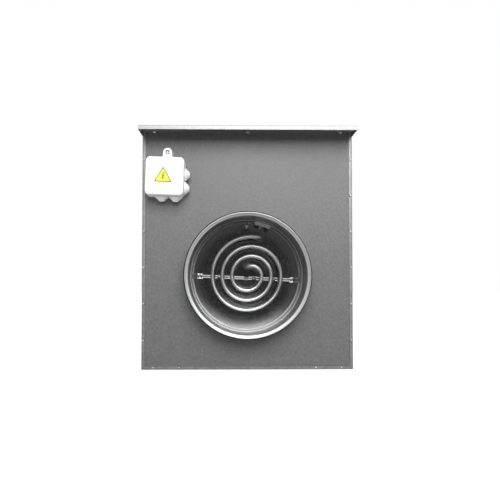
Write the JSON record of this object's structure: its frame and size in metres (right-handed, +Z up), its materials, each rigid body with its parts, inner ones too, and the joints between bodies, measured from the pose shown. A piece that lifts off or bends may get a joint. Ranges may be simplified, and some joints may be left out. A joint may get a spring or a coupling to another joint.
{
  "type": "duct air heater",
  "caption": "Galvanised cabinet with round duct spigots front and rear, a spiral heating element and a sprung flap damper in the duct, and a junction box.",
  "frame": {"origin": "on the floor, under the middle of the cabinet", "axes": "+Z up; the duct runs along Y and air enters at the front, which faces -Y; +X is to the right of someone facing the front"},
  "size_m": [0.342, 0.316, 0.384],
  "materials": {
    "casing_zinc": "galvanised sheet, fine grey spangle",
    "cover_zinc": "galvanised sheet, paler",
    "duct_zinc": "bright galvanised sheet",
    "damper_sheet": "rolled, semi-bright",
    "seal_rubber": "matt black",
    "mineral_wool": "pressed mineral wool",
    "element_sheath": "bright stainless sheath",
    "terminal_ceramic": "unglazed",
    "terminal_brass": "turned",
    "fastener_steel": "zinc plated",
    "box_plastic": "white, satin",
    "entry_plastic": "soft white membrane",
    "grey_plastic": "moulded",
    "black_plastic": "moulded",
    "red_plastic": "moulded",
    "sign_film": "printed film",
    "capillary_copper": "drawn copper",
    "brown_insulation": "extruded",
    "blue_insulation": "extruded",
    "green_insulation": "extruded, green and yellow"
  },
  "bodies": {
    "cabinet": {"casing_wrap": "casing_zinc", "front_panel": "casing_zinc", "rear_panel": "casing_zinc", "top_cover": "cover_zinc", "cover_screws": "fastener_steel", "edge_rivets": "fastener_steel", "front_spigot": "duct_zinc", "rear_spigot": "duct_zinc", "front_seal": "seal_rubber", "rear_seal": "seal_rubber", "duct_tube": "duct_zinc", "cassette_tube": "duct_zinc", "insulation": "mineral_wool", "compartment_floor": "casing_zinc", "heating_element": "element_sheath", "element_flange": "duct_zinc", "terminal_insulators": "terminal_ceramic", "terminal_studs": "terminal_brass", "terminal_nuts": "fastener_steel", "sensor_bulb": "element_sheath", "sensor_clip": "duct_zinc", "damper_rod": "fastener_steel", "rod_clips": "fastener_steel", "damper_stop_ring": "duct_zinc", "damper_springs": "fastener_steel", "junction_box_base": "box_plastic", "cable_entries": "entry_plastic", "junction_box_screws": "fastener_steel", "junction_box_terminals": "grey_plastic", "cable_bushing": "seal_rubber", "terminal_rail": "fastener_steel", "terminal_blocks": "grey_plastic", "rail_end_stops": "grey_plastic", "working_thermostat": "black_plastic", "manual_cutout": "black_plastic", "reset_bushing": "fastener_steel", "capillary_tube": "capillary_copper", "line_wires": "brown_insulation", "neutral_wires": "blue_insulation", "earth_wires": "green_insulation", "earth_stud": "fastener_steel", "earth_nuts": "fastener_steel"},
    "upper_flap": {"flap_upper": "damper_sheet"},
    "lower_flap": {"flap_lower": "damper_sheet"},
    "box_lid": {"junction_box_lid": "box_plastic", "lid_screw": "fastener_steel", "hazard_sign": "sign_film"},
    "reset_key": {"reset_button": "red_plastic"}
  },
  "joints": [
    {"name": "upper_flap_fold", "type": "hinge", "parent": "cabinet", "child": "upper_flap", "pos_m": [0, 0.024, 0.147], "axis": [-0.9991, 0, 0.0419], "range_deg": [0, 75], "stiffness_Nm_per_rad": 0.02, "springref_deg": -34.38},
    {"name": "lower_flap_fold", "type": "hinge", "parent": "cabinet", "child": "lower_flap", "pos_m": [0, 0.024, 0.147], "axis": [0.9991, 0, -0.0419], "range_deg": [0, 75], "stiffness_Nm_per_rad": 0.02, "springref_deg": -34.38},
    {"name": "box_lid_pull", "type": "slide", "parent": "cabinet", "child": "box_lid", "axis": [0, -1, 0], "range_m": [0, 0.03]},
    {"name": "reset_press", "type": "slide", "parent": "cabinet", "child": "reset_key", "axis": [0, -1, 0], "range_m": [0, 0.002], "stiffness_N_per_m": 500, "springref_m": -0.001}
  ]
}
